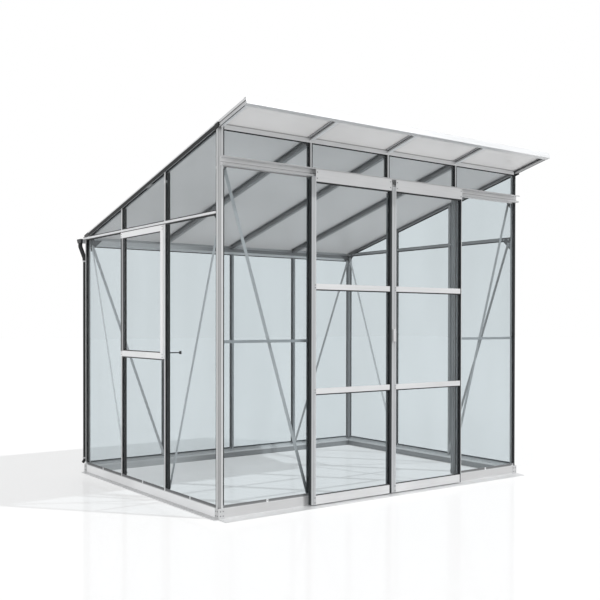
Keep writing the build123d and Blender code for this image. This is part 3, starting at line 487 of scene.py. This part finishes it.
# Rafters: painted shade inside the house; pale under the canopy, with a dark line along the web, sides
# painted darker as shade, and the underside painted darker near the right end.
# Each pair is two depths under the plane of the roof's top.
CAP = (-0.01, 0.0045)
WEB_LINE = (0.012, 0.021)
END_UPPER = (0.0, 0.017)
END_LINE = (0.017, 0.025)
END_LOWER = (0.025, 0.06)
INDOORS = (0.0135, 0.2)
RIGHT_END = 0.05
indoors = lambda h: h.both(
    h.beyond(Y, FRONT), h.beyond(X, LEFT), h.before(X, RIGHT), h.under_roof(*INDOORS)
)
rafter_zones = [
    (lambda h: h.both(h.before(Y, FRONT), h.across(X)), neutral(0.48)),
    (lambda h: h.both(h.before(Y, FRONT), h.across(X), h.under_roof(*WEB_LINE)), (0.06, 0.06, 0.06)),
    (lambda h: h.both(h.across(X), h.before(X, LEFT), h.under_roof(*END_UPPER)), neutral(0.66)),
    (lambda h: h.both(h.across(X), h.before(X, LEFT), h.under_roof(*END_LINE)), (0.10, 0.10, 0.10)),
    (lambda h: h.both(h.across(X), h.before(X, LEFT), h.under_roof(*END_LOWER)), neutral(0.50)),
    (lambda h: h.both(h.before(Y, FRONT), h.toward(Z, -1), h.beyond(X, RIGHT - RIGHT_END)), neutral(0.40)),
    (lambda h: h.under_roof(*CAP), SATIN),
    (lambda h: h.both(h.across(X), h.before(X, LEFT), h.beyond(Y, FRONT)), (0.03, 0.03, 0.03)),
    (indoors, (0.27, 0.272, 0.275)),
]
paint(metal("rafter_metal", "Y", PALE, rafter_zones), "rafters")
paint(metal("mid_rail", "X", (0.42, 0.43, 0.44)), "mid_rails")
OUTER_BAY = 0.70            # the outer bays start here, left and right of the middle
FRONT_BRACE = 0.05
REAR_BRACE = 0.3
# Painted shade and light: the braces of the front left bay and of the right end are painted darker, and the
# flanks of the rear braces lighter, by where light falls.
brace_zones = [
    (lambda h: h.both(h.before(X, -OUTER_BAY), h.before(Y, FRONT + FRONT_BRACE)), neutral(0.52)),
    (lambda h: h.beyond(X, OUTER_BAY), neutral(0.42)),
    (lambda h: h.both(h.across(X), h.beyond(Y, REAR_BRACE)), neutral(0.90)),
]
paint(metal("brace_metal", "Z", (0.62, 0.63, 0.64), brace_zones), "wind_braces")
sash_low, sash_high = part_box("window_sash")
SASH_FOOT, SASH_HEAD = 0.040, 0.044
SASH_REAR, SASH_EDGE = 0.046, 0.016
sash_body = lambda h: h.between(Z, sash_low[Z] + SASH_FOOT, sash_high[Z] - SASH_HEAD)
# Painted shade: the rear part of the sash is painted grey and its rear edge black.
sash_zones = [
    (lambda h: h.both(h.beyond(Y, sash_high[Y] - SASH_REAR), sash_body(h)), neutral(0.34)),
    (lambda h: h.both(h.beyond(Y, sash_high[Y] - SASH_EDGE), sash_body(h)), SEAL_AND_SHADE),
]
paint(metal("sash_metal", "Z", neutral(0.86), sash_zones), "window_sash")
# Painted shade on the underside of the canopy edge.
edge_zones = [(lambda h: h.toward(Z, -1), neutral(0.62))]
paint(metal("aluminium_edge", "X", PALE, edge_zones), "canopy_edge")

black = plastic("black_plastic", (0.014, 0.016, 0.017), (0.026, 0.028, 0.030), 0.42)
# Gaskets are black, and grey at the feet of the panes and beside the track, as in the photo.
RING = 0.02                 # height of a gasket's level stretch
BESIDE_DOOR = 0.755
RIGHT_WALL = 1.45
BACK_WALL = 1.2
pane_foot = lambda h: h.before(Z, SILL + RING)
pane_head = lambda h: h.between(Z, TRACK_Z - RING, TRACK_Z)
# Painted light: the gaskets are painted grey at the feet of the panes, pale at the feet on the back and
# right walls and at the head right of the track, and grey at the head left of it, where light falls on
# them.
gasket_zones = [
    (pane_foot, neutral(0.24)),
    (lambda h: h.both(pane_foot(h), h.beyond(Y, BACK_WALL)), neutral(0.60)),
    (lambda h: h.both(pane_foot(h), h.beyond(X, RIGHT_WALL)), neutral(0.60)),
    (lambda h: h.both(h.between(X, BESIDE_DOOR, RIGHT_WALL), pane_head(h)), (0.70, 0.70, 0.70)),
    (lambda h: h.both(h.before(X, -BESIDE_DOOR), pane_head(h)), (0.32, 0.32, 0.32)),
]
seals = plastic("gasket_rubber", (0.012, 0.013, 0.014), (0.022, 0.024, 0.026), 0.60, zones=gasket_zones)
grey = plastic("grey_plastic", (0.40, 0.41, 0.42), (0.47, 0.48, 0.49), 0.45)
pale = plastic("pale_plastic", (0.52, 0.52, 0.525), (0.59, 0.59, 0.595), 0.45)
pipe = plastic("pipe_plastic", (0.010, 0.011, 0.012), (0.018, 0.020, 0.021), 0.55)
paint(seals, "gaskets")
paint(black, "gutter_caps", "window_stay")
TRIM_TOP = (-0.01, 0.012)
trim_zones = [(lambda h: h.under_roof(*TRIM_TOP), neutral(0.80))]
trim = plastic("trim_plastic", (0.008, 0.009, 0.010), (0.014, 0.015, 0.016), 0.6, zones=trim_zones)
paint(trim, "rafter_trims")
paint(grey, "left_rollers", "right_rollers")
paint(pipe, "downpipes")
paint(pale, "pipe_clips", "door_handle")
# Both kinds of glass mirror less than real panes, and the sides and gables least, to suit
# the photo.
pane = glass("wall_glass", (0.888, 0.911, 0.920), 0.010, 0.42)
paint(pane, "glass_back", "glass_front", "glass_transom", "left_glass", "right_glass")
gable_pane = glass("gable_glass", (0.888, 0.909, 0.917), 0.006, 0.16)
paint(gable_pane, "glass_gables", "glass_sides", "window_glass")
paint(roof_sheet("roof_sheet"), "roof_sheets")


# Small pieces: beads, screws, bolts, clips and brushes, in mesh code.
def lathe(mesh, place, axis, profile, sides=12):
    """Turn a profile of (radius, height) pairs about axis. A radius of 0 closes an end."""
    axis = Vector(axis).normalized()
    side = axis.orthogonal().normalized()
    up = axis.cross(side)
    rings = []
    for radius, height in profile:
        centre = Vector(place) + axis * height
        turns = [2 * math.pi * k / sides for k in range(sides if radius else 1)]
        points = [centre + (side * math.cos(a) + up * math.sin(a)) * radius for a in turns]
        rings.append([mesh.verts.new(point) for point in points])
    for lower, upper in zip(rings, rings[1:]):
        for k in range(sides):
            after = k + 1
            corners = [lower[k % len(lower)], lower[after % len(lower)]]
            corners += [upper[after % len(upper)], upper[k % len(upper)]]
            mesh.faces.new(list(dict.fromkeys(corners)))


def sweep(mesh, start, end, out, up, profile):
    """A closed profile of (out, up) pairs, swept straight from start to end."""
    ends = []
    for place in (start, end):
        points = [Vector(place) + Vector(out) * a + Vector(up) * b for a, b in profile]
        ends.append([mesh.verts.new(point) for point in points])
    first, last = ends
    for k in range(len(profile)):
        after = (k + 1) % len(profile)
        mesh.faces.new((first[k], first[after], last[after], last[k]))
    mesh.faces.new(first[::-1])
    mesh.faces.new(last)


def piece(name, body, material, mesh):
    bmesh.ops.recalc_face_normals(mesh, faces=mesh.faces[:])
    data = bpy.data.meshes.new(name)
    mesh.to_mesh(data)
    mesh.free()
    data.materials.append(material)
    thing = bpy.data.objects.new(name, data)
    bpy.context.scene.collection.objects.link(thing)
    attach(thing, body)
    return thing


# Fastener profiles: a recessed pan head, and a hexagon head on its washer.
PAN = [
    (0, 0), (0.0042, 0), (0.0042, 0.0010), (0.0034, 0.0019),
    (0.0019, 0.0021), (0.0015, 0.0008), (0, 0.0008),
]
WASHER = [(0, 0), (0.0085, 0), (0.0085, 0.0012), (0.0078, 0.0015), (0, 0.0015)]
HEXAGON = [(0, 0.0015), (0.0060, 0.0015), (0.0060, 0.0048), (0.0050, 0.0055), (0, 0.0055)]


def screw(mesh, place, axis):
    lathe(mesh, place, axis, PAN)


def bolt(mesh, place, axis):
    lathe(mesh, place, axis, WASHER, 16)
    lathe(mesh, place, axis, HEXAGON, 6)


steel = metal("dark_screws", light=(0.16, 0.162, 0.165), share=0.5)
bright = metal("bright_bolts", light=(0.50, 0.51, 0.52), share=0.5)
bead_black = plastic("glazing_bead", (0.016, 0.017, 0.018), (0.030, 0.031, 0.033), 0.55)
bead_grey = plastic("sill_bead", (0.135, 0.140, 0.143), (0.165, 0.170, 0.174), 0.55)
clip_metal = metal("clip_metal", light=(0.80, 0.81, 0.82))

# Doors: beads under the rails and the top plate and over the foot rail, a brush along
# the closing stile, screws where the rails and the plate meet the stiles.
DOOR_FACE = FRONT - 0.043
PLATE_FACE = FRONT - 0.046
PANE_FACE = FRONT - 0.0345
BEAD = [(0, 0), (0.0055, 0), (0.0055, -0.0030), (0.0020, -0.0090), (0, -0.0090)]
PLATE_BEAD = [(a, b * 1.3) for a, b in BEAD]
FOOT_BEAD = [(a, -b * 0.7) for a, b in BEAD]
BRUSH = [(0, 0), (0.0185, 0.0015), (0.0195, 0.0055), (0.0185, 0.0095), (0, 0.0115)]
OUTWARD = (0, -1, 0)
UPWARD = (0, 0, 1)
RAIL_BOTTOMS = (0.808, 1.559)
RAIL_H = 0.040
FOOT_RAIL_H = 0.064
BEAD_GAP = 0.0005
BRUSH_FACE = FRONT - 0.0185
BRUSH_TOP = 0.02            # the brush ends this far under the top plate
BRISTLE_TIPS = 0.0140       # how far out the pale tips begin
SCREW_IN = 0.008            # screw centres from the inner edge of the wide stile
for side in ("left", "right"):
    body = side + "_door"
    rails_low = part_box(side + "_rails")[0]
    plate_low, plate_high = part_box(side + "_top_plate")
    stiles_low, stiles_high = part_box(side + "_stiles")
    foot_top = rails_low[Z] + FOOT_RAIL_H
    bead_levels = [(level, BEAD) for level in RAIL_BOTTOMS]
    bead_levels += [(plate_low[Z], PLATE_BEAD), (foot_top, FOOT_BEAD)]
    beads = bmesh.new()
    for level, profile in bead_levels:
        start = (stiles_low[X] + STILE_W + BEAD_GAP, PANE_FACE, level)
        end = (stiles_high[X] - CLOSE_W, PANE_FACE, level)
        sweep(beads, start, end, OUTWARD, UPWARD, profile)
    piece(side + "_door_beads", body, bead_black, beads)

    brush = bmesh.new()
    edge = stiles_high[X] - CLOSE_W
    start = (edge, BRUSH_FACE, foot_top)
    end = (edge, BRUSH_FACE, plate_low[Z] - BRUSH_TOP)
    sweep(brush, start, end, (-1, 0, 0), OUTWARD, BRUSH)
    tips = [(lambda h, edge=edge: h.before(X, edge - BRISTLE_TIPS), neutral(0.145))]
    bristle = plastic(side + "_bristle", (0.016, 0.017, 0.018), (0.030, 0.031, 0.033), 0.55, zones=tips)
    piece(side + "_door_brush", body, bristle, brush)

    screws = bmesh.new()
    for x in (plate_low[X] + 0.012, plate_high[X] - 0.014):
        for z in (plate_low[Z] + 0.022, plate_high[Z] - 0.020):
            screw(screws, (x, PLATE_FACE, z), OUTWARD)
    screw_x = stiles_low[X] + STILE_W - SCREW_IN
    for level in RAIL_BOTTOMS:
        for rise in (0.010, RAIL_H - 0.010):
            screw(screws, (screw_x, DOOR_FACE, level + rise), OUTWARD)
    for rise in (0.014, 0.050):
        screw(screws, (screw_x, DOOR_FACE, rails_low[Z] + rise), OUTWARD)
    piece(side + "_door_screws", body, steel, screws)

handle_low, handle_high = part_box("door_handle")
handle_screws = bmesh.new()
middle = (handle_low[X] + handle_high[X]) / 2
for z in (handle_low[Z] + 0.0065, handle_high[Z] - 0.0065):
    screw(handle_screws, (middle, DOOR_FACE - 0.002, z), OUTWARD)
piece("handle_screws", "right_door", steel, handle_screws)

# Sill beads in front of the fixed panes, and a clip at the middle of each pane's foot.
SILL_BEAD = [(0, 0), (0.0022, 0), (0.0022, 0.009), (0.0006, 0.0125), (0, 0.0125)]
CLIP = [(0.0003, 0), (0.0036, 0), (0.0036, 0.004), (0.0030, 0.018), (0.0003, 0.018)]
CLIP_SCREW = [(0, 0), (0.003, 0), (0.003, 0.0012), (0.002, 0.0018), (0, 0.0018)]
CLIP_HALF = 0.008
CLIP_FOOT = 0.0005
CLIP_SCREW_UP = 0.010
CLIP_SCREW_OUT = 0.0026
BEAD_FOOT = 0.0072
POST_IN = 0.035
BAR_HALF = 0.0145
bay = 0.745
gable_bars = (-0.245, 0.500)
glass_in = 0.0049
fronts = ((LEFT + POST_IN, -bay - BAR_HALF), (bay + BAR_HALF, RIGHT - POST_IN))
backs = (
    (LEFT + POST_IN, -bay - BAR_HALF), (-bay + BAR_HALF, -BAR_HALF),
    (BAR_HALF, bay - BAR_HALF), (bay + BAR_HALF, RIGHT - POST_IN),
)
sides = (
    (FRONT + POST_IN, gable_bars[0] - BAR_HALF), (gable_bars[0] + BAR_HALF, gable_bars[1] - BAR_HALF),
    (gable_bars[1] + BAR_HALF, BACK - POST_IN),
)
sill_beads = bmesh.new()
clips = bmesh.new()
clip_screws = bmesh.new()


def foot_of_pane(low, high, place, out):
    """Bead and clip along one pane. place(u, z) gives a point on the pane's outer face."""
    base = SILL + BEAD_FOOT
    sweep(sill_beads, place(low, base), place(high, base), out, UPWARD, SILL_BEAD)
    centre = (low + high) / 2
    clip_start = place(centre - CLIP_HALF, SILL + CLIP_FOOT)
    clip_end = place(centre + CLIP_HALF, SILL + CLIP_FOOT)
    sweep(clips, clip_start, clip_end, out, UPWARD, CLIP)
    head = Vector(place(centre, SILL + CLIP_SCREW_UP)) + Vector(out) * CLIP_SCREW_OUT
    lathe(clip_screws, head, out, CLIP_SCREW)


for low, high in fronts:
    foot_of_pane(low, high, lambda u, z: (u, FRONT + glass_in, z), (0, -1, 0))
for low, high in backs:
    foot_of_pane(low, high, lambda u, z: (u, BACK - glass_in, z), (0, 1, 0))
for low, high in sides:
    foot_of_pane(low, high, lambda u, z: (LEFT + glass_in, u, z), (-1, 0, 0))
    foot_of_pane(low, high, lambda u, z: (RIGHT - glass_in, u, z), (1, 0, 0))
piece("sill_beads", "house", bead_grey, sill_beads)
piece("pane_clips", "house", clip_metal, clips)
piece("clip_screws", "house", steel, clip_screws)

# Screws through the corner plates of the base: four on each leg.
PLATE_OUT = 0.002
plate_screws = bmesh.new()
for x, out in ((LEFT, -1), (RIGHT, 1)):
    for y, turn in ((FRONT, -1), (BACK, 1)):
        for inset in (0.013, 0.034):
            for z in (0.025, 0.056):
                screw(plate_screws, (x - out * inset, y + turn * PLATE_OUT, z), (0, turn, 0))
                screw(plate_screws, (x + out * PLATE_OUT, y - turn * inset, z), (out, 0, 0))
piece("corner_plate_screws", "house", steel, plate_screws)

# Bolts at both ends of the braces and in the gussets, on the faces inside the house.
GUSSET_IN = 0.041
BRACE_IN = 0.043
EDGE = 0.060                # upper brace bolt from the corner of the walls
FOOT = SILL + 0.024         # lower brace bolt
RAIL = 2.015                # upper brace bolt on the gables
bolts = bmesh.new()
for sign in (-1, 1):
    side_x = sign * (RIGHT - BRACE_IN)
    inward = (-sign, 0, 0)
    bolt(bolts, (sign * (RIGHT - EDGE), FRONT + BRACE_IN, TRACK_Z + 0.016), (0, 1, 0))
    bolt(bolts, (sign * (bay + 0.002), FRONT + BRACE_IN, FOOT), (0, 1, 0))
    bolt(bolts, (sign * (RIGHT - EDGE), BACK - BRACE_IN, 1.983), (0, -1, 0))
    bolt(bolts, (sign * (bay + 0.014), BACK - BRACE_IN, FOOT), (0, -1, 0))
    for y, near, far in ((FRONT, EDGE, 0.766), (BACK, -EDGE, -0.766)):
        bolt(bolts, (side_x, y + near, RAIL), inward)
        bolt(bolts, (side_x, y + far, FOOT), inward)
    for along, down in ((0.018, 0.016), (0.070, 0.014), (0.014, 0.068)):
        gusset_x = sign * (RIGHT - 0.042 - along)
        bolt(bolts, (gusset_x, FRONT + GUSSET_IN, 2.426 - down), (0, 1, 0))
        for y, turn in ((FRONT, 1), (BACK, -1)):
            place = (sign * (RIGHT - GUSSET_IN), y + turn * (0.042 + along), 2.066 - down)
            bolt(bolts, place, inward)
piece("brace_bolts", "house", bright, bolts)

# Screws down the middle of each rafter cap.
CAP_STEP = 0.36
SLOPE = math.tan(PITCH_OF_ROOF)
roof_out = (0, math.sin(PITCH_OF_ROOF), math.cos(PITCH_OF_ROOF))
cap_screws = bmesh.new()
for x in (LEFT + 0.010, -bay, 0, bay, RIGHT - 0.010):
    for k in range(7):
        y = FRONT - 0.20 + k * CAP_STEP
        screw(cap_screws, (x, y, ROOF_TOP - (y - FRONT) * SLOPE), roof_out)
piece("roof_cap_screws", "house", steel, cap_screws)

# Side window: a black seal round the inside of the sash, and its corner screws.
SASH_BAR = 0.044
SASH_OUT = 0.0123
SEAL_STRIP = [(0, 0), (0.0042, 0.0002), (0.0036, 0.0035), (0.0008, 0.0075), (0, 0.0075)]
sash_pane = LEFT - 0.0079
u0, u1 = sash_low[Y] + SASH_BAR, sash_high[Y] - SASH_BAR
v0, v1 = sash_low[Z] + SASH_BAR, sash_high[Z] - SASH_BAR
sash_seal = bmesh.new()
left_out = (-1, 0, 0)
sweep(sash_seal, (sash_pane, u0, v1), (sash_pane, u1, v1), left_out, (0, 0, -1), SEAL_STRIP)
sweep(sash_seal, (sash_pane, u0, v0), (sash_pane, u1, v0), left_out, (0, 0, 1), SEAL_STRIP)
sweep(sash_seal, (sash_pane, u1, v0 + 0.008), (sash_pane, u1, v1 - 0.008), left_out, (0, -1, 0), SEAL_STRIP)
piece("window_seal", "house", bead_black, sash_seal)
sash_screws = bmesh.new()
for y in (sash_low[Y] + 0.012, sash_high[Y] - 0.012):
    for z in (sash_low[Z] + 0.012, sash_low[Z] + 0.032, sash_high[Z] - 0.012, sash_high[Z] - 0.032):
        screw(sash_screws, (LEFT - SASH_OUT, y, z), left_out)
piece("window_screws", "house", steel, sash_screws)


# Camera: a little above door-handle height, off the near front corner.
FROM_CORNER = Vector((-2.947, -4.890, 1.315))
YAW = math.radians(36.17)
PITCH = math.radians(-0.487)
ROLL = math.radians(0.085)
camera_data = bpy.data.cameras.new("camera")
camera_data.lens = 51.295
camera_data.sensor_width = 36.0
camera_data.shift_x = 0.0083
camera_data.shift_y = 0.0509
camera = bpy.data.objects.new("camera", camera_data)
bpy.context.scene.collection.objects.link(camera)
camera.matrix_world = (
    Matrix.Translation(Vector((LEFT, FRONT, 0.0)) + FROM_CORNER)
    @ Matrix.Rotation(-YAW, 4, "Z")
    @ Matrix.Rotation(math.pi / 2 + PITCH, 4, "X")
    @ Matrix.Rotation(ROLL, 4, "Z")
)
bpy.context.scene.camera = camera


def sun(name, toward, energy, angle):
    """A distant lamp that shines from the direction toward."""
    data = bpy.data.lights.new(name, "SUN")
    data.energy = energy
    data.angle = math.radians(angle)
    lamp = bpy.data.objects.new(name, data)
    lamp.matrix_world = Vector(toward).to_track_quat("Z", "Y").to_matrix().to_4x4()
    bpy.context.scene.collection.objects.link(lamp)


# A crisp sun from the front right, high, and a broad soft lamp from the front left.
sun("key_sun", (0.392, -0.484, 0.783), 2.1, 0.8)
sun("soft_side", (-0.80, -0.42, 0.42), 0.75, 60)


def straight(t, path):
    """1 for rays that show the background: to the camera, through a pane or mirrored."""
    seen = t.math("ADD", path.outputs["Is Camera Ray"], path.outputs["Is Transmission Ray"])
    total = t.math("ADD", seen, path.outputs["Is Glossy Ray"])
    return t.math("MINIMUM", total, 1.0)


class WorldTree(Tree):
    def __init__(self, world):
        world.use_nodes = True
        self.tree = world.node_tree
        self.tree.nodes.clear()
        self.output = self.tree.nodes.new("ShaderNodeOutputWorld")


world = bpy.data.worlds.new("studio")
bpy.context.scene.world = world
w = WorldTree(world)
white = w.add("Background", Color=(1, 1, 1), Strength=1.0)
fill = w.add("Background", Color=(0.985, 0.99, 1.0), Strength=0.50)
path = w.add("LightPath")
shown = w.mix(straight(w, path), fill.outputs[0], white.outputs[0])
w.tree.links.new(shown, w.output.inputs["Surface"])


def floor_material():
    """Glossy white floor that stays white in the open and keeps the shadow. It glows for
    the rays that show the background, and more so away from the house."""
    t = Tree("studio_floor")
    path = t.add("LightPath")
    bounce = t.add("BsdfDiffuse", Color=(0.80, 0.80, 0.80))
    distance = t.add("VectorMath", {"operation": "LENGTH"}, **{"0": t.place()}).outputs["Value"]
    away = t.remap(distance, 0.0, 1.0, 1.25, 2.1)
    show = t.add("BsdfDiffuse", Color=t.blend(away, (0.55, 0.55, 0.55), (0.35, 0.35, 0.35)))
    glow = t.add("Emission", Color=(1, 1, 1), Strength=t.remap(away, 0.43, 0.64, 0.0, 1.0))
    lit = t.add("AddShader")
    t.tree.links.new(show.outputs[0], lit.inputs[0])
    t.tree.links.new(glow.outputs[0], lit.inputs[1])
    mirror = t.add("BsdfGlossy", Color=(1, 1, 1), Roughness=0.09)
    polished = t.mix(0.07, lit.outputs[0], mirror.outputs[0])
    return t.finish(t.mix(straight(t, path), bounce.outputs[0], polished))


floor_mesh = bpy.data.meshes.new("studio_floor")
reach = 60.0
corners = [(-reach, -reach, 0), (reach, -reach, 0), (reach, reach, 0), (-reach, reach, 0)]
floor_mesh.from_pydata(corners, [], [(0, 1, 2, 3)])
floor_mesh.materials.append(floor_material())
floor = bpy.data.objects.new("studio_floor", floor_mesh)
floor.location.z = -0.001
bpy.context.scene.collection.objects.link(floor)
floor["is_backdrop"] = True

scene = bpy.context.scene
scene.view_settings.view_transform = "Standard"
scene.cycles.transparent_max_bounces = 32

low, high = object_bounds()
